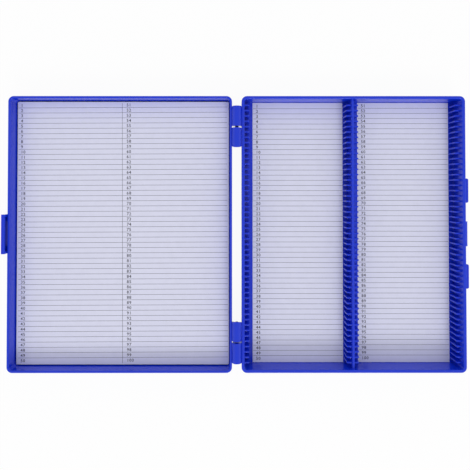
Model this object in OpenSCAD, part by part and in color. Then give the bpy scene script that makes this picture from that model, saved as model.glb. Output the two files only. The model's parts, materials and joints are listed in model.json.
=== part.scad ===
// Microscope slide box, opened flat: a ribbed base and a lined lid on two pinned hinges, with a clasp.
// Millimetres. The origin is the middle of the base's underside, X runs from the hinges to the base's
// free side and Y runs along the hinges.

/* [Halves] */
// Length of both halves, along the hinges
half_l = 202; // [150:1:260]
// Width of each half, across the hinges
half_w = 164; // [120:1:220]
// Height of each half, so the box is twice as high when closed
half_h = 17.5; // [14:0.5:30]
// Thickness of the base's side walls
wall = 2.2; // [1.4:0.1:3.5]
// Thickness of the lid's side walls
lid_wall = 1.7; // [1.2:0.1:3.5]
// Thickness of the floors
floor_t = 1.8; // [1:0.1:4]
// Corner radius of the outline
corner_r = 4; // [1:0.1:12]
// Gap between the two rims when the box is closed
rim_gap = 0.2; // [0.1:0.05:0.6]

/* [Slots] */
// Distance from one slide slot to the next
slot_pitch = 3.95; // [3:0.01:8]
// Thickness of a rib between two slots
rib_t = 1.2; // [0.6:0.1:1.8]
// How far a rib reaches out of its wall
rib_reach = 3.6; // [1.5:0.1:6]
// Distance from the rim down to the top of the ribs
rib_drop = 3.7; // [1:0.1:10]
// Thickness of the divider
divider_t = 1.8; // [1:0.1:4]
// Distance from the rim down to the top of the divider
divider_drop = 2; // [0:0.1:6]

/* [Sheets] */
// Thickness of the printed sheets
sheet_t = 0.3; // [0.1:0.05:1]
// Gap from a number sheet to its end walls and to the rib tips on its right
sheet_fit = 0.3; // [0.1:0.05:1]
// Bare floor between the rib tips and the left number sheet, on its left
left_sheet_bare = 2.8; // [0.3:0.1:10]
// Bare floor between the rib tips and the right number sheet, on its left
right_sheet_bare = 2; // [0.3:0.1:10]
// Thickness of the foam pad under the lid's index sheet
pad_t = 4.6; // [1:0.1:8]
// Gap from the lid's pad and index sheet to the walls round them
lining_gap = 0.8; // [0.2:0.05:3]

/* [Hinges] */
// Distance from a back wall to the hinge axis
axis_out = 3.5; // [2.8:0.1:8]
// Gap from a knuckle to the wall of the other half
barrel_gap = 0.1; // [0.1:0.05:0.8]
// Length of a knuckle
knuckle_l = 14.7; // [6:0.1:30]
// Gap between the two knuckles of a hinge
knuckle_gap = 1.1; // [0.3:0.1:3]
// Distance from the end of the box to the first knuckle
hinge_inset = 7.5; // [0:0.5:30]
// How far a knuckle's foot runs down the wall below the barrel
gusset_drop = 3; // [0:0.1:6]
// Diameter of a hinge pin
pin_d = 2.6; // [1.5:0.1:3.2]
// How far a pin's ends lie inside the knuckles
pin_recess = 0.6; // [0:0.1:3]
// Radial clearance of a pin in the piece that turns on it
run_fit = 0.05; // [0.02:0.01:0.1]
// Radial clearance of a pin in the piece that holds it
press_fit = 0.01; // [0:0.005:0.02]

/* [Clasp] */
// Length of the clasp
clasp_l = 28.6; // [20:0.1:50]
// Thickness of the clasp's bar
bar_t = 1.5; // [1:0.1:3]
// How far the clasp reaches past the lid's rim
clasp_reach = 3.4; // [2.8:0.1:8]
// Height of the hook
hook_t = 1.15; // [0.8:0.05:2]
// Gap from the clasp to the wall behind it
clasp_gap = 0.4; // [0.2:0.05:0.8]
// Clearance of the hook and the bar at the keeper
keeper_fit = 0.15; // [0.05:0.05:0.4]
// Thickness of the clasp's cheeks
cheek_t = 1.9; // [1:0.1:4]
// Distance from the lid's rim down to the clasp's pin
pivot_drop = 5.5; // [3.5:0.1:9]
// Diameter of the clasp's pin
clasp_pin_d = 1.4; // [0.8:0.1:1.8]
// Thickness of the lid's ears
ear_t = 3; // [1.5:0.1:5]
// Gap between an ear and a cheek
ear_gap = 0.25; // [0.1:0.05:0.6]
// How far the keeper stands out of the base's wall
keeper_out = 1.5; // [1:0.1:3]
// Distance from the base's rim down to the keeper
keeper_drop = 0.4; // [0:0.1:1]
// Gap between an end of the keeper and a cheek
keeper_end_gap = 3.3; // [1:0.1:6]

/* [Bumpers] */
// Length of a bumper
bumper_l = 18; // [5:0.5:30]
// How far a bumper stands out of the base's wall
bumper_out = 3.4; // [1:0.1:6]
// Distance from an end of the clasp to a bumper
bumper_gap = 8.3; // [2:0.1:20]
// Distance from the base's rim down to the bumpers
bumper_drop = 3; // [0:0.1:8]
// Height of the bumpers above the underside
bumper_lift = 2; // [0:0.1:5]
// Corner radius of the bumpers, seen from above
bumper_r = 1.2; // [0.2:0.1:2]

/* [Hidden] */
$fn = 64;

// How far joined shapes run into each other
lap = 0.6;

// Inside of the base
inner_w = half_w - 2 * wall;
inner_l = half_l - 2 * wall;

// Slots and the divider's two faces
slot_count = floor(inner_l / slot_pitch);
rib_h = half_h - rib_drop - floor_t;
divider_left = -divider_t / 2;
divider_right = divider_t / 2;

// Hinges: the axis lies midway between the two rims of the closed box
axis_x = -half_w / 2 - axis_out;
axis_z = half_h + rim_gap / 2;
barrel_r = axis_out - barrel_gap;
outer_knuckle_y = half_l / 2 - hinge_inset - knuckle_l / 2;
inner_knuckle_y = outer_knuckle_y - knuckle_l - knuckle_gap;
hinge_y = (outer_knuckle_y + inner_knuckle_y) / 2;
hinge_pin_l = 2 * knuckle_l + knuckle_gap - 2 * pin_recess;

// Lid, where it lies when the box is open
lid_x = 2 * axis_x;

// Corner radius at which the lid's pad and index sheet clear the lid's inner corners
lining_r = max(inner_r(lid_wall) - 2 * lining_gap, 0.4);

// Clasp, with distances measured outwards from the lid's wall
clasp_wall_x = lid_x - half_w / 2;
bar_in = keeper_out + keeper_fit;
bar_out = bar_in + bar_t;
clasp_top = half_h + clasp_reach;
pivot_r = (bar_out - clasp_gap) / 2;
pivot_out = clasp_gap + pivot_r;
pivot_z = half_h - pivot_drop;
bar_bottom = pivot_z + pivot_r + clasp_gap;
cheek_y = (clasp_l - cheek_t) / 2;
ear_y = clasp_l / 2 - cheek_t - ear_gap - ear_t / 2;

// Keeper, just inside the hook when the box is closed
keeper_bottom = 2 * axis_z - clasp_top + hook_t + keeper_fit;
keeper_top = half_h - keeper_drop;
keeper_l = clasp_l - 2 * (cheek_t + keeper_end_gap);

// Bumpers
bumper_y = clasp_l / 2 + bumper_gap + bumper_l / 2;

blue = "#4254d0";
paper = "#e4e4ee";
foam = "#d9dbe2";
steel = "#8a8d94";

// A rectangle with round corners, about the origin
module round_rect(w, l, r) {
    square([w - 2 * r, l], center = true);
    square([w, l - 2 * r], center = true);
    for (sx = [-1, 1], sy = [-1, 1])
        translate([sx * (w / 2 - r), sy * (l / 2 - r)])
            circle(r);
}

// A profile drawn in X and Z, drawn out along Y about a place on it
module along_y(y, l) {
    translate([0, y + l / 2, 0])
        rotate([90, 0, 0])
            linear_extrude(l)
                children();
}

// A round bar along Y
module rod(x, y, z, d, l) {
    translate([x, y + l / 2, z])
        rotate([90, 0, 0])
            cylinder(d = d, h = l);
}

// A half's outline, moved in by the given distance, with the given corner radius
module outline(d, r) {
    round_rect(half_w - 2 * d, half_l - 2 * d, r);
}

// Inner corner radius of a half with walls of the given thickness
function inner_r(t) = max(corner_r - t, 0.4);

// One half of the box as a plain open tray with walls of the given thickness
module tray(t) {
    difference() {
        linear_extrude(half_h)
            outline(0, corner_r);
        translate([0, 0, floor_t])
            linear_extrude(half_h)
                outline(t, inner_r(t));
    }
}

// A hinge knuckle at y, on the wall that lies on the given side of the axis, before it is bored
module knuckle(y, side) {
    along_y(y, knuckle_l) {
        translate([axis_x, axis_z])
            circle(barrel_r);
        polygon([
            [axis_x, half_h],
            [axis_x, axis_z - barrel_r],
            [axis_x + side * axis_out, axis_z - barrel_r - gusset_drop],
            [axis_x + side * (axis_out + lap), axis_z - barrel_r - gusset_drop],
            [axis_x + side * (axis_out + lap), half_h]
        ]);
    }
}

// Ribs that start at x0 and end at x1
module comb(x0, x1) {
    color(blue)
        for (i = [1 : slot_count - 1])
            translate([x0, (i - slot_count / 2) * slot_pitch - rib_t / 2, floor_t])
                cube([x1 - x0, rib_t, rib_h]);
}

// A sheet or pad in the lid, with the given underside and thickness
module lid_layer(z, t) {
    translate([lid_x, 0, z])
        linear_extrude(t)
            outline(lid_wall + lining_gap, lining_r);
}

// A number sheet on the floor, from x0 to x1
module number_sheet(x0, x1) {
    color(paper)
        translate([x0, sheet_fit - inner_l / 2, floor_t])
            cube([x1 - x0, inner_l - 2 * sheet_fit, sheet_t]);
}

// Puts what is drawn outwards along +X from a wall onto the lid's clasp wall
module at_clasp_wall() {
    translate([clasp_wall_x, 0, 0])
        mirror([1, 0, 0])
            children();
}

module base_tray() {
    color(blue)
        difference() {
            union() {
                tray(wall);
                for (s = [-1, 1])
                    knuckle(s * outer_knuckle_y, 1);
                // Keeper, with a sloping top that spreads the hook
                along_y(0, keeper_l)
                    polygon([
                        [half_w / 2 - lap, keeper_bottom],
                        [half_w / 2 + keeper_out, keeper_bottom],
                        [half_w / 2 + keeper_out, (keeper_bottom + keeper_top) / 2],
                        [half_w / 2, keeper_top],
                        [half_w / 2 - lap, keeper_top]
                    ]);
                for (s = [-1, 1])
                    translate([half_w / 2, s * bumper_y, bumper_lift])
                        linear_extrude(half_h - bumper_drop - bumper_lift)
                            bumper_outline();
            }
            for (s = [-1, 1])
                rod(axis_x, s * outer_knuckle_y, axis_z, pin_d + 2 * press_fit, knuckle_l + 2 * lap);
        }
}

// A bumper seen from above, with the wall's face at X = 0
module bumper_outline() {
    translate([-lap, -bumper_l / 2])
        square([lap + bumper_out - bumper_r, bumper_l]);
    translate([0, -bumper_l / 2 + bumper_r])
        square([bumper_out, bumper_l - 2 * bumper_r]);
    for (s = [-1, 1])
        translate([bumper_out - bumper_r, s * (bumper_l / 2 - bumper_r)])
            circle(bumper_r);
}

module divider() {
    color(blue)
        translate([divider_left, -inner_l / 2, floor_t])
            cube([divider_t, inner_l, half_h - divider_drop - floor_t]);
}

module comb_left_wall() {
    comb(-inner_w / 2, -inner_w / 2 + rib_reach);
}

module comb_divider_left() {
    comb(divider_left - rib_reach, divider_left);
}

module comb_divider_right() {
    comb(divider_right, divider_right + rib_reach);
}

module comb_right_wall() {
    comb(inner_w / 2 - rib_reach, inner_w / 2);
}

module number_sheet_left() {
    number_sheet(-inner_w / 2 + rib_reach + left_sheet_bare, divider_left - rib_reach - sheet_fit);
}

module number_sheet_right() {
    number_sheet(divider_right + rib_reach + right_sheet_bare, inner_w / 2 - rib_reach - sheet_fit);
}

module hinge_pin_far() {
    color(steel)
        rod(axis_x, hinge_y, axis_z, pin_d, hinge_pin_l);
}

module hinge_pin_near() {
    color(steel)
        rod(axis_x, -hinge_y, axis_z, pin_d, hinge_pin_l);
}

module lid_shell() {
    color(blue)
        difference() {
            union() {
                translate([lid_x, 0, 0])
                    tray(lid_wall);
                for (s = [-1, 1])
                    knuckle(s * inner_knuckle_y, -1);
                at_clasp_wall()
                    for (s = [-1, 1])
                        along_y(s * ear_y, ear_t) {
                            translate([pivot_out, pivot_z])
                                circle(pivot_r);
                            translate([-lap, pivot_z - pivot_r])
                                square([lap + pivot_out, 2 * pivot_r]);
                        }
            }
            for (s = [-1, 1])
                rod(axis_x, s * inner_knuckle_y, axis_z, pin_d + 2 * run_fit, knuckle_l + 2 * lap);
            for (s = [-1, 1])
                rod(
                    clasp_wall_x - pivot_out, s * ear_y, pivot_z,
                    clasp_pin_d + 2 * press_fit, ear_t + 2 * ear_gap
                );
        }
}

module lid_foam_pad() {
    color(foam)
        lid_layer(floor_t, pad_t);
}

module index_sheet() {
    color(paper)
        lid_layer(floor_t + pad_t, sheet_t);
}

module clasp() {
    color(blue)
        difference() {
            at_clasp_wall() {
                // Bar with its hook
                along_y(0, clasp_l) {
                    translate([bar_in, bar_bottom])
                        square([bar_t, clasp_top - bar_bottom]);
                    translate([clasp_gap, clasp_top - hook_t])
                        square([bar_out - clasp_gap, hook_t]);
                }
                for (s = [-1, 1])
                    along_y(s * cheek_y, cheek_t) {
                        translate([pivot_out, pivot_z])
                            circle(pivot_r);
                        translate([clasp_gap, pivot_z])
                            square([bar_out - clasp_gap, clasp_top - pivot_z]);
                    }
            }
            for (s = [-1, 1])
                rod(
                    clasp_wall_x - pivot_out, s * cheek_y, pivot_z,
                    clasp_pin_d + 2 * run_fit, cheek_t + 2 * ear_gap
                );
        }
}

module clasp_pin() {
    color(steel)
        rod(clasp_wall_x - pivot_out, 0, pivot_z, clasp_pin_d, clasp_l - 2 * ear_gap);
}

base_tray();
divider();
comb_left_wall();
comb_divider_left();
comb_divider_right();
comb_right_wall();
number_sheet_left();
number_sheet_right();
hinge_pin_far();
hinge_pin_near();
lid_shell();
lid_foam_pad();
index_sheet();
clasp();
clasp_pin();
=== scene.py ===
"""A microscope slide box of blue plastic, opened flat: a ribbed base and a lined lid on two hinges."""

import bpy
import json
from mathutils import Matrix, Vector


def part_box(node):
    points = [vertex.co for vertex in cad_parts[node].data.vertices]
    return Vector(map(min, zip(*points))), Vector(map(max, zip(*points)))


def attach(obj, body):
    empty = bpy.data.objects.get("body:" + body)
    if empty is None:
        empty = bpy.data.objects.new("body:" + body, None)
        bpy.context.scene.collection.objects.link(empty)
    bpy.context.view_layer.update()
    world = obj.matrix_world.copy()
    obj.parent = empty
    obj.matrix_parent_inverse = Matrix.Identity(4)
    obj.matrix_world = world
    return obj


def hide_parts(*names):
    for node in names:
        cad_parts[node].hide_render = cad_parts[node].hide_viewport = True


bl_info = {
    "name": "Microscope slide box",
    "version": (1, 0, 0),
    "blender": (4, 5, 0),
    "location": "View3D > Sidebar > Slide box",
    "description": "Models a hinged box for 100 microscope slides around its packed frame",
    "category": "Object",
}

import json
import math

import bmesh
import bpy
from mathutils import Vector

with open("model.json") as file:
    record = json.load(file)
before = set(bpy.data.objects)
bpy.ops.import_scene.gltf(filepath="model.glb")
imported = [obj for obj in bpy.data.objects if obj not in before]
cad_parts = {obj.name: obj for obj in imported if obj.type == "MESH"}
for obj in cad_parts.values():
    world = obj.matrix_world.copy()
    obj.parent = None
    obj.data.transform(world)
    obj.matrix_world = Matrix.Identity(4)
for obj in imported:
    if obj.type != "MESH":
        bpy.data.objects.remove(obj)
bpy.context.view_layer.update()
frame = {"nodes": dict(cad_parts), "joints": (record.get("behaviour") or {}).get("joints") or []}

MM = 0.001
# How far a piece runs into the one that it is moulded to
LAP = 0.6 * MM
# What a full round's bevel leaves of its radius, so that it doesn't close on itself
HAIR = 0.005 * MM
# Half the thickness of the print, which lies half in the paper
FILM = 0.03 * MM
# Printed rows in a column
ROWS = 50
JOINTS = {joint["name"]: Vector(joint["pos_m"]) for joint in frame["joints"]}
HINGE = JOINTS["lid_hinge"]
PIVOT = JOINTS["clasp_pivot"]
LID_X = 2 * HINGE.x


def linear(code):
    """Turns an sRGB hex colour to the linear colour that sockets and properties take."""
    shares = [int(code[i:i + 2], 16) / 255 for i in (1, 3, 5)]
    return tuple(s / 12.92 if s <= 0.04045 else ((s + 0.055) / 1.055) ** 2.4 for s in shares) + (1.0,)


def length(name, description, default):
    """A size in metres that the sidebar shows as a length."""
    return bpy.props.FloatProperty(
        name=name, description=description, default=default,
        min=0, precision=5, subtype="DISTANCE", unit="LENGTH",
    )


def colour(name, description, code):
    """A colour that the sidebar shows as a swatch."""
    return bpy.props.FloatVectorProperty(
        name=name, description=description, default=linear(code), size=4, min=0, max=1, subtype="COLOR"
    )


class SlideBoxSizes(bpy.types.PropertyGroup):
    """Sizes of the mouldings, the hinges, the ribs and the print"""

    half_width: length("Half width", "Width of the base or the lid, across the hinges", 164 * MM)
    half_length: length("Half length", "Length of the base or the lid", 2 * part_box("lid_shell")[1].y)
    half_height: length("Half height", "Height of the base or the lid", 17.5 * MM)
    wall: length("Base wall", "Thickness of the base's side walls", 2.2 * MM)
    lid_wall: length("Lid wall", "Thickness of the lid's side walls", 1.7 * MM)
    floor: length("Floor", "Thickness of the floors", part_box("divider")[0].z)
    corner_radius: length("Corner radius", "Radius of the upright corners", 4 * MM)
    rim_round: length("Rim rounding", "Radius along both edges of a rim", 0.5 * MM)
    foot_round: length("Foot rounding", "Radius round the underside", 1.2 * MM)
    barrel_radius: length("Barrel radius", "Radius of the hinge knuckles", 3.4 * MM)
    knuckle_length: length("Knuckle length", "Length of a hinge knuckle", 14.7 * MM)
    pin_recess: length("Pin recess", "How far a hinge pin ends inside its knuckle", 0.6 * MM)
    gusset: length("Gusset", "How far a knuckle's foot runs down the wall", 3 * MM)
    rib: length("Rib", "Thickness of a rib at its root", 1.2 * MM)
    rib_corner: length("Rib corner", "Radius of a rib's free top corner", 0.8 * MM)
    rib_tip: bpy.props.FloatProperty(
        name="Rib tip", description="Thickness of a rib's tip against its root",
        default=0.9, min=0.3, max=1, subtype="FACTOR",
    )
    slot_pitch: length("Slot pitch", "Distance from one slot to the next", 3.95 * MM)
    row_pitch: length("Row pitch", "Distance from one printed row to the next", 3.908 * MM)
    row_shift: length("Index row shift", "How far the lid's rows lie towards the far end", 0.46 * MM)
    left_row_shift: length("Left row shift", "The same for the base's left sheet", 0.285 * MM)
    right_row_shift: length("Right row shift", "The same for the base's right sheet", 0.63 * MM)
    print_turn: bpy.props.FloatProperty(
        name="Print turn", description="How far the lid's print is turned on its sheet",
        default=math.radians(0.26), min=0, max=math.radians(0.4), subtype="ANGLE",
    )
    ruling: length("Ruling", "Width of a printed line", 0.2 * MM)
    numeral: length("Numeral", "Height of the printed numbers", 2.35 * MM)
    numeral_weight: length("Numeral weight", "How far the numbers' strokes are thickened", 0.03 * MM)


class SlideBoxColours(bpy.types.PropertyGroup):
    """Colours of the plastic, the paper, the print, the foam and the pins"""

    plastic: colour("Plastic", "Blue of the mouldings", "#1236D4")
    paper: colour("Paper", "White of the printed sheets", "#DEDFF2")
    ink: colour("Ink", "Black of the print", "#2E2E38")
    foam: colour("Foam", "White of the lid's lining", "#DFE0E6")
    steel: colour("Steel", "Dark finish of the pins", "#2B2D3A")


def clear_selection():
    """Goes to object mode with nothing selected."""
    if bpy.context.mode != "OBJECT":
        bpy.ops.object.mode_set(mode="OBJECT")
    bpy.ops.object.select_all(action="DESELECT")


def take(piece):
    """Makes a piece the only selected one, in object mode."""
    clear_selection()
    piece.select_set(True)
    bpy.context.view_layer.objects.active = piece


def settle(name):
    """Names the primitive that was just added and moves its place into its mesh."""
    bpy.ops.object.transform_apply(location=True, rotation=True, scale=True)
    piece = bpy.context.object
    piece.name = name
    piece.data.name = name
    return piece


def block(name, low, high):
    """Adds a cube between two corners and opens it in edit mode."""
    clear_selection()
    bpy.ops.mesh.primitive_cube_add(
        size=1,
        location=[(a + b) / 2 for a, b in zip(low, high)],
        scale=[b - a for a, b in zip(low, high)],
    )
    piece = settle(name)
    bpy.ops.object.mode_set(mode="EDIT")
    return piece


def round_bar(name, middle, radius, size, sides):
    """Adds a round bar along Y and opens it in edit mode."""
    clear_selection()
    bpy.ops.mesh.primitive_cylinder_add(
        vertices=sides, radius=radius, depth=size, location=middle, rotation=(math.pi / 2, 0, 0)
    )
    piece = settle(name)
    bpy.ops.object.mode_set(mode="EDIT")
    return piece


def pick(kind, test):
    """In edit mode, selects the vertices, edges or faces that pass a test."""
    bpy.ops.mesh.select_mode(type=kind)
    bpy.ops.mesh.select_all(action="DESELECT")
    mesh = bmesh.from_edit_mesh(bpy.context.object.data)
    parts = {"VERT": mesh.verts, "EDGE": mesh.edges, "FACE": mesh.faces}[kind]
    chosen = [part for part in parts if test(part)]
    if not chosen:
        raise RuntimeError(f"{bpy.context.object.name}: no {kind.lower()} passes the test")
    for part in chosen:
        part.select_set(True)
    bmesh.update_edit_mesh(bpy.context.object.data)


def near(value, place):
    """True within a hundredth of a millimetre."""
    return abs(value - place) < 0.01 * MM


def runs(edge, axis):
    """True if an edge runs along an axis, 0 to 2."""
    step = edge.verts[1].co - edge.verts[0].co
    return abs(step[axis]) > 0.999 * step.length


def lies(edge, axis, place):
    """True if both ends of an edge lie at a place on an axis."""
    return all(near(end.co[axis], place) for end in edge.verts)


def upright_beside(edge):
    """True if one of an edge's faces stands upright."""
    return any(abs(face.normal.z) < 0.5 for face in edge.link_faces)


def carve(piece, tool, operation):
    """Joins a tool to a piece or cuts it out, and removes the tool."""
    take(piece)
    cut = piece.modifiers.new("Carve", "BOOLEAN")
    cut.operation = operation
    cut.solver = "EXACT"
    cut.object = tool
    bpy.ops.object.modifier_apply(modifier=cut.name)
    bpy.data.objects.remove(tool)


def repeat(piece, count, offset):
    """Repeats a piece along a line, in one mesh."""
    take(piece)
    row = piece.modifiers.new("Row", "ARRAY")
    row.use_relative_offset = False
    row.use_constant_offset = True
    row.constant_offset_displace = offset
    row.count = count
    bpy.ops.object.modifier_apply(modifier=row.name)


def break_edges(piece, width):
    """Rounds every sharp edge of a piece a little."""
    take(piece)
    edges = piece.modifiers.new("Edges", "BEVEL")
    edges.width = width
    edges.segments = 2
    edges.limit_method = "ANGLE"
    edges.angle_limit = math.radians(50)
    bpy.ops.object.modifier_apply(modifier=edges.name)


def dress(piece, material, body, slot, *nodes):
    """Smooths a piece, gives it its material and sets it on its body in place of its CAD nodes."""
    take(piece)
    bpy.ops.object.mode_set(mode="EDIT")
    bpy.ops.mesh.select_all(action="SELECT")
    bpy.ops.mesh.remove_doubles(threshold=0.001 * MM)
    bpy.ops.object.mode_set(mode="OBJECT")
    bpy.ops.object.shade_smooth_by_angle(angle=math.radians(40))
    even = piece.modifiers.new("Even", "WEIGHTED_NORMAL")
    even.keep_sharp = True
    bpy.ops.object.modifier_apply(modifier=even.name)
    piece.data.materials.clear()
    piece.data.materials.append(material)
    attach(piece, body)
    if nodes:
        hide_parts(*nodes)


def add_node(tree, kind, inputs=None, **settings):
    """Adds a node with its settings; an input takes a value or another node's socket."""
    made = tree.nodes.new(kind)
    for key, value in settings.items():
        setattr(made, key, value)
    for key, value in (inputs or {}).items():
        if isinstance(value, bpy.types.NodeSocket):
            tree.links.new(value, made.inputs[key])
        else:
            made.inputs[key].default_value = value
    return made


def new_material(name):
    """Starts a node material that holds only its output."""
    material = bpy.data.materials.new(name)
    material.use_nodes = True
    material.node_tree.nodes.clear()
    return material, material.node_tree, add_node(material.node_tree, "ShaderNodeOutputMaterial")


def scaled(shade, share):
    """A colour made darker or lighter."""
    return tuple(min(1.0, part * share) for part in shade[:3]) + (1.0,)


def noise(tree, place, patch, detail):
    """The value of a noise pattern whose patches have a real size."""
    inputs = {"Vector": place, "Scale": 1 / patch, "Detail": detail}
    return add_node(tree, "ShaderNodeTexNoise", inputs).outputs["Fac"]


def moulded_abs(colours):
    """ABS from a polished tool: a satin skin with a soft sheen that grows at grazing angles."""
    name = "moulded_abs_blue"
    if name in bpy.data.materials:
        return bpy.data.materials[name]
    material, tree, output = new_material(name)
    place = add_node(tree, "ShaderNodeTexCoord").outputs["Object"]
    # Pigment drifts a little over a few centimetres of flow
    drift = noise(tree, place, 35 * MM, 3.0)
    tone = add_node(tree, "ShaderNodeMix", {
        "Factor": drift,
        "A": scaled(colours.plastic, 0.93),
        "B": scaled(colours.plastic, 1.07),
    }, data_type="RGBA")
    # The skin's gloss varies over a few millimetres
    skin = noise(tree, place, 6 * MM, 4.0)
    gloss = add_node(tree, "ShaderNodeMapRange", {
        "Value": skin, "From Min": 0.3, "From Max": 0.7, "To Min": 0.16, "To Max": 0.22,
    })
    # Grain of the tool, 0.4 mm, shallow enough to break up reflections only
    grain = noise(tree, place, 0.4 * MM, 2.0)
    relief = add_node(tree, "ShaderNodeBump", {
        "Height": grain, "Strength": 0.15, "Distance": 0.004 * MM,
    })
    shader = add_node(tree, "ShaderNodeBsdfPrincipled", {
        "Base Color": tone.outputs["Result"],
        "Roughness": gloss.outputs["Result"],
        "IOR": 1.54,
        "Specular IOR Level": 0.42,
        "Normal": relief.outputs["Normal"],
    })
    tree.links.new(shader.outputs["BSDF"], output.inputs["Surface"])
    return material


def uncoated_paper(colours):
    """Uncoated offset paper: matt, with a faint cloudy look-through and a felt of short fibres."""
    name = "uncoated_offset_paper"
    if name in bpy.data.materials:
        return bpy.data.materials[name]
    material, tree, output = new_material(name)
    place = add_node(tree, "ShaderNodeTexCoord").outputs["Object"]
    # Cloudy formation of the pulp, about 5 mm
    cloud = noise(tree, place, 5 * MM, 5.0)
    tone = add_node(tree, "ShaderNodeMix", {
        "Factor": cloud,
        "A": scaled(colours.paper, 0.96),
        "B": scaled(colours.paper, 1.04),
    }, data_type="RGBA")
    # Fibres, about 0.3 mm
    felt = noise(tree, place, 0.3 * MM, 3.0)
    relief = add_node(tree, "ShaderNodeBump", {
        "Height": felt, "Strength": 0.4, "Distance": 0.02 * MM,
    })
    shader = add_node(tree, "ShaderNodeBsdfPrincipled", {
        "Base Color": tone.outputs["Result"],
        "Roughness": 0.9,
        "IOR": 1.45,
        "Specular IOR Level": 0.2,
        "Normal": relief.outputs["Normal"],
    })
    tree.links.new(shader.outputs["BSDF"], output.inputs["Surface"])
    return material


def offset_ink(colours):
    """Offset ink on uncoated paper: a thin matt black that the paper's tooth breaks up."""
    name = "offset_printing_ink"
    if name in bpy.data.materials:
        return bpy.data.materials[name]
    material, tree, output = new_material(name)
    place = add_node(tree, "ShaderNodeTexCoord").outputs["Object"]
    # Patchy cover, about 0.5 mm
    tooth = noise(tree, place, 0.5 * MM, 3.0)
    tone = add_node(tree, "ShaderNodeMix", {
        "Factor": tooth,
        "A": scaled(colours.ink, 0.6),
        "B": scaled(colours.ink, 1.6),
    }, data_type="RGBA")
    shader = add_node(tree, "ShaderNodeBsdfPrincipled", {
        "Base Color": tone.outputs["Result"],
        "Roughness": 0.7,
        "IOR": 1.5,
        "Specular IOR Level": 0.3,
    })
    tree.links.new(shader.outputs["BSDF"], output.inputs["Surface"])
    return material


def foamed_polyethylene(colours):
    """Cross-linked polyethylene foam, die-cut: a soft white skin of closed cells."""
    name = "polyethylene_foam"
    if name in bpy.data.materials:
        return bpy.data.materials[name]
    material, tree, output = new_material(name)
    place = add_node(tree, "ShaderNodeTexCoord").outputs["Object"]
    # Closed cells, about 0.7 mm
    cells = add_node(tree, "ShaderNodeTexVoronoi", {"Vector": place, "Scale": 1 / (0.7 * MM)})
    tone = add_node(tree, "ShaderNodeMix", {
        "Factor": cells.outputs["Distance"],
        "A": colours.foam,
        "B": scaled(colours.foam, 0.8),
    }, data_type="RGBA")
    relief = add_node(tree, "ShaderNodeBump", {
        "Height": cells.outputs["Distance"], "Strength": 0.5, "Distance": 0.1 * MM,
    })
    shader = add_node(tree, "ShaderNodeBsdfPrincipled", {
        "Base Color": tone.outputs["Result"],
        "Roughness": 0.8,
        "IOR": 1.5,
        "Normal": relief.outputs["Normal"],
    })
    tree.links.new(shader.outputs["BSDF"], output.inputs["Surface"])
    return material


def blackened_steel(colours):
    """Drawn steel wire with a black oxide finish: dark, with draw lines along the pin."""
    name = "blackened_drawn_steel"
    if name in bpy.data.materials:
        return bpy.data.materials[name]
    material, tree, output = new_material(name)
    place = add_node(tree, "ShaderNodeTexCoord").outputs["Object"]
    # Draw lines, 0.2 mm across and 12 mm long
    stretch = add_node(tree, "ShaderNodeMapping", {"Vector": place, "Scale": (1.0, 0.016, 1.0)})
    lines = noise(tree, stretch.outputs["Vector"], 0.2 * MM, 2.0)
    tone = add_node(tree, "ShaderNodeMix", {
        "Factor": lines,
        "A": scaled(colours.steel, 0.6),
        "B": scaled(colours.steel, 1.6),
    }, data_type="RGBA")
    gloss = add_node(tree, "ShaderNodeMapRange", {"Value": lines, "To Min": 0.3, "To Max": 0.5})
    shader = add_node(tree, "ShaderNodeBsdfPrincipled", {
        "Base Color": tone.outputs["Result"],
        "Metallic": 1.0,
        "Roughness": gloss.outputs["Result"],
    })
    tree.links.new(shader.outputs["BSDF"], output.inputs["Surface"])
    return material


def open_tray(name, middle_x, wall, size):
    """Models one half: a block with round corners, hollowed from above, with every edge broken."""
    half_x, half_y = size.half_width / 2, size.half_length / 2
    top = size.half_height
    tray = block(name, (middle_x - half_x, -half_y, 0), (middle_x + half_x, half_y, top))
    pick("EDGE", lambda edge: runs(edge, 2))
    bpy.ops.mesh.bevel(offset=size.corner_radius, segments=8)
    pick("FACE", lambda face: face.normal.z > 0.9)
    bpy.ops.mesh.inset(thickness=wall)
    bpy.ops.mesh.extrude_region_move(TRANSFORM_OT_translate={"value": (0, 0, size.floor - top)})
    pick("EDGE", lambda edge: lies(edge, 2, size.floor) and upright_beside(edge))
    bpy.ops.mesh.bevel(offset=0.3 * MM, segments=2)
    pick("EDGE", lambda edge: lies(edge, 2, top) and upright_beside(edge))
    bpy.ops.mesh.bevel(offset=size.rim_round, segments=3)
    pick("EDGE", lambda edge: lies(edge, 2, 0) and upright_beside(edge))
    bpy.ops.mesh.bevel(offset=size.foot_round, segments=4)
    return tray


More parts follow.
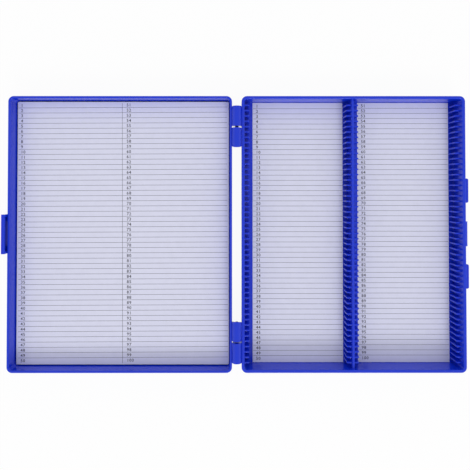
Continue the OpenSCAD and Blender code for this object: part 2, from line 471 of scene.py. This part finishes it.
def add_knuckle(half, y, side, bore, size, lean=0):
    """Moulds a knuckle on a half's back wall: a barrel on a gusseted web, bored for its pin.

    The end that faces the box's middle leans back below the barrel's top by the given angle.
    """
    middle = (HINGE.x, y, HINGE.z)
    reach = size.knuckle_length / 2
    inward = -math.copysign(1, y)
    end = y + inward * reach
    setback = 2 * size.barrel_radius * math.sin(lean)
    wall_x = HINGE.x + side * (abs(HINGE.x) - size.half_width / 2)
    barrel = round_bar("barrel", middle, size.barrel_radius, size.knuckle_length, 48)
    shoulder = 0.3 * MM
    pick("EDGE", lambda edge: lies(edge, 1, y - reach) or lies(edge, 1, y + reach))
    bpy.ops.mesh.bevel(offset=shoulder, segments=2)
    # A little wider than round, so that it closes the gap to the other half's wall
    widening = 1.028
    pick("FACE", lambda face: True)
    bpy.ops.transform.resize(value=(widening, 1, 1), center_override=middle)
    if lean:
        pick("VERT", lambda point: abs(point.co.y - end) < shoulder + 0.01 * MM)
        bpy.ops.transform.rotate(
            value=inward * lean, orient_axis="X",
            center_override=(HINGE.x, end - inward * shoulder, HINGE.z + size.barrel_radius),
        )
    carve(half, barrel, "UNION")
    # The web ends a little short of the barrel, and clear of the end that leans
    short = 0.2 * MM
    foot = HINGE.z - size.barrel_radius - size.gusset
    ends = sorted([HINGE.x, wall_x + side * LAP])
    web_low = y - reach + short + (setback if inward < 0 else 0)
    web_high = y + reach - short - (setback if inward > 0 else 0)
    web = block(
        "web",
        (ends[0], web_low, foot),
        (ends[1], web_high, size.half_height - size.rim_round),
    )
    pick("VERT", lambda point: near(point.co.x, HINGE.x) and near(point.co.z, foot))
    bpy.ops.transform.translate(value=(0, 0, size.gusset))
    carve(half, web, "UNION")
    drill = round_bar("drill", middle, bore, size.knuckle_length + 2 * MM, 32)
    carve(half, drill, "DIFFERENCE")


def knuckle_places(size):
    """Where the outer and the inner knuckle of the hinge at +Y lie along Y."""
    low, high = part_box("hinge_pin_far")
    reach = size.knuckle_length / 2
    return high.y + size.pin_recess - reach, low.y - size.pin_recess + reach


def hinge_bore(clearance):
    """Radius of the hole for a hinge pin."""
    low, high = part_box("hinge_pin_far")
    return (high.x - low.x) / 2 + clearance


class SLIDEBOX_OT_base(bpy.types.Operator):
    """Model the base tray with its knuckles, keeper and bumpers"""

    bl_idname = "slidebox.base"
    bl_label = "Base tray"

    def execute(self, context):
        size = context.scene.slide_box_sizes
        tray = open_tray("base_tray_moulding", 0, size.wall, size)
        wall_x = size.half_width / 2
        outer = knuckle_places(size)[0]
        for y in (-outer, outer):
            add_knuckle(tray, y, 1, hinge_bore(0.01 * MM), size)
        # Keeper: a ridge just under the rim, with a slope on top that spreads the hook
        keeper_half = 9.1 * MM
        keeper_x = wall_x + 1.5 * MM
        low_z = 15.6 * MM
        high_z = size.half_height - 0.4 * MM
        keeper = block("keeper", (wall_x - LAP, -keeper_half, low_z), (keeper_x, keeper_half, high_z))
        pick("VERT", lambda point: near(point.co.x, keeper_x) and near(point.co.z, high_z))
        bpy.ops.transform.translate(value=(0, 0, (low_z - high_z) / 2))
        pick("EDGE", lambda edge: lies(edge, 0, keeper_x))
        bpy.ops.mesh.bevel(offset=0.25 * MM, segments=2)
        carve(tray, keeper, "UNION")
        # Bumpers either side of the clasp
        bumper_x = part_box("base_tray")[1].x
        bumper_y = 31.6 * MM
        bumper_half = 9 * MM
        bumper_foot = 2 * MM
        bumper_top = size.half_height - 3 * MM
        for y in (-bumper_y, bumper_y):
            bumper = block(
                "bumper",
                (wall_x - LAP, y - bumper_half, bumper_foot),
                (bumper_x, y + bumper_half, bumper_top),
            )
            pick("EDGE", lambda edge: runs(edge, 2) and lies(edge, 0, bumper_x))
            bpy.ops.mesh.bevel(offset=1.2 * MM, segments=5)
            pick("EDGE", lambda edge: not runs(edge, 2) and not lies(edge, 0, wall_x - LAP))
            bpy.ops.mesh.bevel(offset=0.6 * MM, segments=3)
            carve(tray, bumper, "UNION")
        dress(tray, moulded_abs(context.scene.slide_box_colours), "base", "blue_abs", "base_tray")
        return {"FINISHED"}


class SLIDEBOX_OT_divider(bpy.types.Operator):
    """Model the wall between the two compartments"""

    bl_idname = "slidebox.divider"
    bl_label = "Divider"

    def execute(self, context):
        low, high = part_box("divider")
        sunk = Vector((0, 0.2 * MM, 0.2 * MM))
        divider = block("divider_wall", low - sunk, (high.x, high.y + sunk.y, high.z))
        pick("EDGE", lambda edge: runs(edge, 1) and lies(edge, 2, high.z))
        bpy.ops.mesh.bevel(offset=0.6 * MM, segments=4)
        dress(divider, moulded_abs(context.scene.slide_box_colours), "base", "blue_abs", "divider")
        return {"FINISHED"}


class SLIDEBOX_OT_combs(bpy.types.Operator):
    """Model one tapered rib and repeat it along each of the four slotted walls"""

    bl_idname = "slidebox.combs"
    bl_label = "Slot combs"

    def execute(self, context):
        size = context.scene.slide_box_sizes
        material = moulded_abs(context.scene.slide_box_colours)
        # How far a rib runs into its wall and the floor
        sunk = 0.2 * MM
        for node, side in (
            ("comb_left_wall", 1),
            ("comb_divider_left", -1),
            ("comb_divider_right", 1),
            ("comb_right_wall", -1),
        ):
            low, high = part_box(node)
            count = round((high.y - low.y - size.rib) / size.slot_pitch) + 1
            root, tip = (low.x, high.x) if side > 0 else (high.x, low.x)
            ends = sorted([root - side * sunk, tip])
            rib = block(
                node + "_ribs",
                (ends[0], low.y, low.z - sunk),
                (ends[1], low.y + size.rib, high.z),
            )
            middle = (tip, low.y + size.rib / 2, (low.z + high.z) / 2)
            pick("FACE", lambda face: face.normal.x * side > 0.9)
            bpy.ops.transform.resize(value=(1, size.rib_tip, 1), center_override=middle)
            pick("EDGE", lambda edge: runs(edge, 1) and lies(edge, 0, tip) and lies(edge, 2, high.z))
            bpy.ops.mesh.bevel(offset=size.rib_corner, segments=4)
            pick("EDGE", lambda edge: (
                any(abs(face.normal.y) > 0.9 for face in edge.link_faces)
                and any(face.normal.x * side > 0.1 or face.normal.z > 0.1 for face in edge.link_faces
                        if abs(face.normal.y) < 0.5)
            ))
            bpy.ops.mesh.bevel(offset=0.13 * MM, segments=2)
            repeat(rib, count, (0, size.slot_pitch, 0))
            dress(rib, material, "base", "blue_abs", node)
        return {"FINISHED"}


class SLIDEBOX_OT_lid(bpy.types.Operator):
    """Model the lid with its knuckles and the clasp's ears"""

    bl_idname = "slidebox.lid"
    bl_label = "Lid"

    def execute(self, context):
        size = context.scene.slide_box_sizes
        lid = open_tray("lid_moulding", LID_X, size.lid_wall, size)
        inner = knuckle_places(size)[1]
        for y in (-inner, inner):
            add_knuckle(lid, y, -1, hinge_bore(0.05 * MM), size, lean=math.radians(16))
        # Ears that hold the clasp's pin
        wall_x = LID_X - size.half_width / 2
        ear_r = 1.375 * MM
        ear_x = PIVOT.x - ear_r
        ear_y = 10.65 * MM
        ear_half = 1.5 * MM
        for y in (-ear_y, ear_y):
            ear = block(
                "ear",
                (ear_x, y - ear_half, PIVOT.z - ear_r),
                (wall_x + LAP, y + ear_half, PIVOT.z + ear_r),
            )
            pick("EDGE", lambda edge: runs(edge, 1) and lies(edge, 0, ear_x))
            bpy.ops.mesh.bevel(offset=ear_r - HAIR, segments=8)
            carve(lid, ear, "UNION")
        low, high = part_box("clasp_pin")
        drill = round_bar("drill", PIVOT, (high.z - low.z) / 2 + 0.01 * MM, 26 * MM, 24)
        carve(lid, drill, "DIFFERENCE")
        dress(lid, moulded_abs(context.scene.slide_box_colours), "lid", "blue_abs", "lid_shell")
        return {"FINISHED"}


class SLIDEBOX_OT_lining(bpy.types.Operator):
    """Model the foam pad that lies under the index sheet"""

    bl_idname = "slidebox.lining"
    bl_label = "Lid lining"

    def execute(self, context):
        low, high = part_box("lid_foam_pad")
        pad = block("lid_lining_pad", low, high)
        pick("EDGE", lambda edge: runs(edge, 2))
        bpy.ops.mesh.bevel(offset=0.7 * MM, segments=3)
        pick("EDGE", lambda edge: not runs(edge, 2) and upright_beside(edge))
        bpy.ops.mesh.bevel(offset=0.5 * MM, segments=3)
        dress(pad, foamed_polyethylene(context.scene.slide_box_colours), "lid", "foam", "lid_foam_pad")
        return {"FINISHED"}


class SLIDEBOX_OT_sheets(bpy.types.Operator):
    """Finish the paper sheets and print their rows and numbers"""

    bl_idname = "slidebox.sheets"
    bl_label = "Printed sheets"

    def rule(self, name, low, high, width):
        """Models one printed line with round ends."""
        line = block(name, (low.x, low.y, high.z - FILM), (high.x, high.y, high.z + FILM))
        pick("EDGE", lambda edge: runs(edge, 2))
        bpy.ops.mesh.bevel(offset=width * 0.45, segments=2)
        return line

    def turn(self, piece, angle):
        """Turns a print about the middle of the lid's sheet, anticlockwise seen from above."""
        low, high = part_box("index_sheet")
        take(piece)
        bpy.ops.object.mode_set(mode="EDIT")
        bpy.ops.mesh.select_all(action="SELECT")
        bpy.ops.transform.rotate(value=-angle, orient_axis="Z", center_override=(low + high) / 2)
        bpy.ops.object.mode_set(mode="OBJECT")

    def execute(self, context):
        size = context.scene.slide_box_sizes
        colours = context.scene.slide_box_colours
        ink = offset_ink(colours)
        columns = []
        for node, body, shift in (
            ("index_sheet", "lid", size.row_shift),
            ("number_sheet_left", "base", size.left_row_shift),
            ("number_sheet_right", "base", size.right_row_shift),
        ):
            sheet = frame["nodes"][node]
            sheet.data.materials.clear()
            sheet.data.materials.append(uncoated_paper(colours))
            low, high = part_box(node)
            # A line lies between every two rows, and the first number in the middle of the first row
            count = ROWS - 1
            first_y = shift + (count - 1) / 2 * size.row_pitch
            number_y = shift + count / 2 * size.row_pitch - size.numeral / 2
            half = size.ruling / 2
            edge = 0.9 * MM if body == "lid" else 0.4 * MM
            rows = self.rule(
                node + "_rows",
                Vector((low.x + edge, first_y - half, high.z)),
                Vector((high.x - edge, first_y + half, high.z)),
                size.ruling,
            )
            repeat(rows, count, (0, -size.row_pitch, 0))
            if node == "index_sheet":
                # The line between the columns lies left of the middle, and a trace above the rows
                middle = (low.x + high.x) / 2 - 0.4 * MM
                above = high.z + 0.01 * MM
                line = self.rule(
                    "index_middle_line",
                    Vector((middle - half, low.y + edge, above)),
                    Vector((middle + half, high.y - edge, above)),
                    size.ruling,
                )
                self.turn(line, size.print_turn)
                self.turn(rows, size.print_turn)
                dress(line, ink, body, "paper")
                place = (low.x + 2.75 * MM, number_y, high.z)
                columns.append(("index_numbers_1_to_50", 1, place, body))
                place = (middle + 3.2 * MM, number_y, high.z)
                columns.append(("index_numbers_51_to_100", ROWS + 1, place, body))
            else:
                first, inset = (1, 2.6 * MM) if node.endswith("left") else (ROWS + 1, 2.8 * MM)
                place = (low.x + inset, number_y, high.z)
                columns.append((node.replace("sheet", "print"), first, place, body))
            dress(rows, ink, body, "paper")
        # The typeface's figures are 0.73 em high
        em = size.numeral / 0.73
        for name, first, place, body in columns:
            clear_selection()
            bpy.ops.object.text_add(location=place)
            text = bpy.context.object
            text.data.body = "\n".join(str(number) for number in range(first, first + ROWS))
            text.data.size = em
            text.data.space_line = size.row_pitch / em
            text.data.offset = size.numeral_weight
            text.data.space_character = 1.12
            text.data.resolution_u = 2
            text.data.extrude = FILM
            bpy.ops.object.convert(target="MESH")
            numbers = settle(name)
            if body == "lid":
                self.turn(numbers, size.print_turn)
            dress(numbers, ink, body, "paper")
        return {"FINISHED"}


class SLIDEBOX_OT_clasp(bpy.types.Operator):
    """Model the clasp: a bar with a hook along its edge, between two cheeks that turn on the pin"""

    bl_idname = "slidebox.clasp"
    bl_label = "Clasp"

    def execute(self, context):
        low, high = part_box("clasp")
        cheek_r = PIVOT.z - low.z
        cheek = 1.9 * MM
        bar_t = 1.5 * MM
        hook_t = 1.15 * MM
        # Room under the bar for the lid's ears, and how far the cutters stand out
        ear_gap = 0.4 * MM
        past = 1 * MM
        clasp = block("clasp_moulding", low, high)
        pick("EDGE", lambda edge: runs(edge, 1) and lies(edge, 2, low.z))
        bpy.ops.mesh.bevel(offset=cheek_r - HAIR, segments=8)
        pick("EDGE", lambda edge: runs(edge, 1) and lies(edge, 2, high.z) and lies(edge, 0, low.x))
        bpy.ops.mesh.bevel(offset=0.7 * MM, segments=4)
        hollow = block(
            "hollow",
            (low.x + bar_t, low.y + cheek, low.z - past),
            (high.x + past, high.y - cheek, high.z - hook_t),
        )
        carve(clasp, hollow, "DIFFERENCE")
        clearance = block(
            "clearance",
            (low.x - past, low.y + cheek, low.z - past),
            (high.x + past, high.y - cheek, PIVOT.z + cheek_r + ear_gap),
        )
        carve(clasp, clearance, "DIFFERENCE")
        pin_low, pin_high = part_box("clasp_pin")
        drill = round_bar("drill", PIVOT, (pin_high.z - pin_low.z) / 2 + 0.05 * MM, 40 * MM, 24)
        carve(clasp, drill, "DIFFERENCE")
        break_edges(clasp, 0.15 * MM)
        dress(clasp, moulded_abs(context.scene.slide_box_colours), "clasp", "blue_abs", "clasp")
        return {"FINISHED"}


class SLIDEBOX_OT_pins(bpy.types.Operator):
    """Model the two hinge pins and the clasp's pin, with rounded ends"""

    bl_idname = "slidebox.pins"
    bl_label = "Pins"

    def execute(self, context):
        steel = blackened_steel(context.scene.slide_box_colours)
        for node, body in (("hinge_pin_far", "base"), ("hinge_pin_near", "base"), ("clasp_pin", "lid")):
            low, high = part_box(node)
            radius = (high.x - low.x) / 2
            pin = round_bar(node + "_wire", (low + high) / 2, radius, high.y - low.y, 32)
            pick("EDGE", lambda edge: lies(edge, 1, low.y) or lies(edge, 1, high.y))
            bpy.ops.mesh.bevel(offset=0.7 * radius, segments=4)
            dress(pin, steel, body, "steel", node)
        return {"FINISHED"}


class SLIDEBOX_OT_stage(bpy.types.Operator):
    """Set the floor, the studio light and the camera"""

    bl_idname = "slidebox.stage"
    bl_label = "Stage"

    def seen_directly(self, tree):
        """A socket that is 1 for rays that show the background itself."""
        path = add_node(tree, "ShaderNodeLightPath")
        seen = add_node(tree, "ShaderNodeMath", {
            0: path.outputs["Is Camera Ray"], 1: path.outputs["Is Glossy Ray"],
        }, operation="MAXIMUM")
        return add_node(tree, "ShaderNodeMath", {
            0: seen.outputs[0], 1: path.outputs["Is Transmission Ray"],
        }, operation="MAXIMUM").outputs[0]

    def lamp(self, name, place, size, power):
        """Adds a square softbox that faces the box."""
        clear_selection()
        bpy.ops.object.light_add(type="AREA", location=place)
        light = bpy.context.object
        light.name = name
        light.data.shape = "SQUARE"
        light.data.size = size
        light.data.energy = power
        away = Vector(place) - Vector((HINGE.x, 0, 0))
        light.rotation_euler = away.to_track_quat("Z", "Y").to_euler()

    def execute(self, context):
        scene = context.scene
        scene.view_settings.view_transform = "Standard"
        clear_selection()
        bpy.ops.mesh.primitive_plane_add(size=8, location=(HINGE.x, 0, -0.1 * MM))
        ground = bpy.context.object
        ground.name = "studio_floor"
        material, tree, output = new_material("white_studio_floor")
        matt = add_node(tree, "ShaderNodeBsdfDiffuse", {"Color": linear("#F4F4F6")})
        glow = add_node(tree, "ShaderNodeEmission", {"Color": (1, 1, 1, 1), "Strength": 1.0})
        # Most of what the camera sees is the white itself, and the rest keeps the box's shadow
        share = add_node(tree, "ShaderNodeMath", {
            0: self.seen_directly(tree), 1: 0.94,
        }, operation="MULTIPLY")
        mix = add_node(tree, "ShaderNodeMixShader", {
            0: share.outputs[0], 1: matt.outputs["BSDF"], 2: glow.outputs["Emission"],
        })
        tree.links.new(mix.outputs["Shader"], output.inputs["Surface"])
        ground.data.materials.append(material)

        world = bpy.data.worlds.new("white_studio")
        world.use_nodes = True
        scene.world = world
        tree = world.node_tree
        tree.nodes.clear()
        fill = add_node(tree, "ShaderNodeBackground", {"Color": (1, 1, 1, 1), "Strength": 0.75})
        # What is seen of the studio is white all round and dimmer overhead
        way = add_node(tree, "ShaderNodeTexCoord").outputs["Generated"]
        up = add_node(tree, "ShaderNodeSeparateXYZ", {"Vector": way}).outputs["Z"]
        ceiling = add_node(tree, "ShaderNodeMapRange", {
            "Value": up, "From Min": 0.2, "From Max": 0.8, "To Min": 1.0, "To Max": 0.5,
        })
        white = add_node(tree, "ShaderNodeBackground", {
            "Color": (1, 1, 1, 1), "Strength": ceiling.outputs["Result"],
        })
        mix = add_node(tree, "ShaderNodeMixShader", {
            0: self.seen_directly(tree), 1: fill.outputs["Background"], 2: white.outputs["Background"],
        })
        add_node(tree, "ShaderNodeOutputWorld", {"Surface": mix.outputs["Shader"]})
        self.lamp("softbox_front", (0.6, -3.3, 2.74), 1.4, 53.0)

        # Straight above the hinges and towards the far side, with the frame shifted down over the box
        clear_selection()
        bpy.ops.object.camera_add(
            location=(-87.18 * MM, 33.87 * MM, 374.29 * MM),
            rotation=(math.radians(0.856), math.radians(-0.059), 0),
        )
        camera = bpy.context.object
        camera.name = "photo_camera"
        camera.data.sensor_width = 36
        camera.data.lens = 37.4
        camera.data.shift_y = -0.1165
        camera.data.clip_start = 0.01
        scene.camera = camera
        return {"FINISHED"}


OPERATORS = (
    SLIDEBOX_OT_base,
    SLIDEBOX_OT_divider,
    SLIDEBOX_OT_combs,
    SLIDEBOX_OT_lid,
    SLIDEBOX_OT_lining,
    SLIDEBOX_OT_sheets,
    SLIDEBOX_OT_clasp,
    SLIDEBOX_OT_pins,
    SLIDEBOX_OT_stage,
)


class SLIDEBOX_PT_sidebar(bpy.types.Panel):
    """Lists the slide box's pieces, sizes and colours"""

    bl_idname = "SLIDEBOX_PT_sidebar"
    bl_label = "Slide box"
    bl_space_type = "VIEW_3D"
    bl_region_type = "UI"
    bl_category = "Slide box"

    def draw(self, context):
        for group in (context.scene.slide_box_sizes, context.scene.slide_box_colours):
            column = self.layout.column(align=True)
            for name in group.__annotations__:
                column.prop(group, name)
        for operator in OPERATORS:
            self.layout.operator(operator.bl_idname)


CLASSES = (SlideBoxSizes, SlideBoxColours) + OPERATORS + (SLIDEBOX_PT_sidebar,)


def register():
    for each in CLASSES:
        bpy.utils.register_class(each)
    bpy.types.Scene.slide_box_sizes = bpy.props.PointerProperty(type=SlideBoxSizes)
    bpy.types.Scene.slide_box_colours = bpy.props.PointerProperty(type=SlideBoxColours)


def unregister():
    del bpy.types.Scene.slide_box_colours
    del bpy.types.Scene.slide_box_sizes
    for each in reversed(CLASSES):
        bpy.utils.unregister_class(each)


def main():
    """Builds the whole box."""
    register()
    bpy.ops.slidebox.base()
    bpy.ops.slidebox.divider()
    bpy.ops.slidebox.combs()
    bpy.ops.slidebox.lid()
    bpy.ops.slidebox.lining()
    bpy.ops.slidebox.sheets()
    bpy.ops.slidebox.clasp()
    bpy.ops.slidebox.pins()
    bpy.ops.slidebox.stage()


if __name__ == "__main__":
    main()
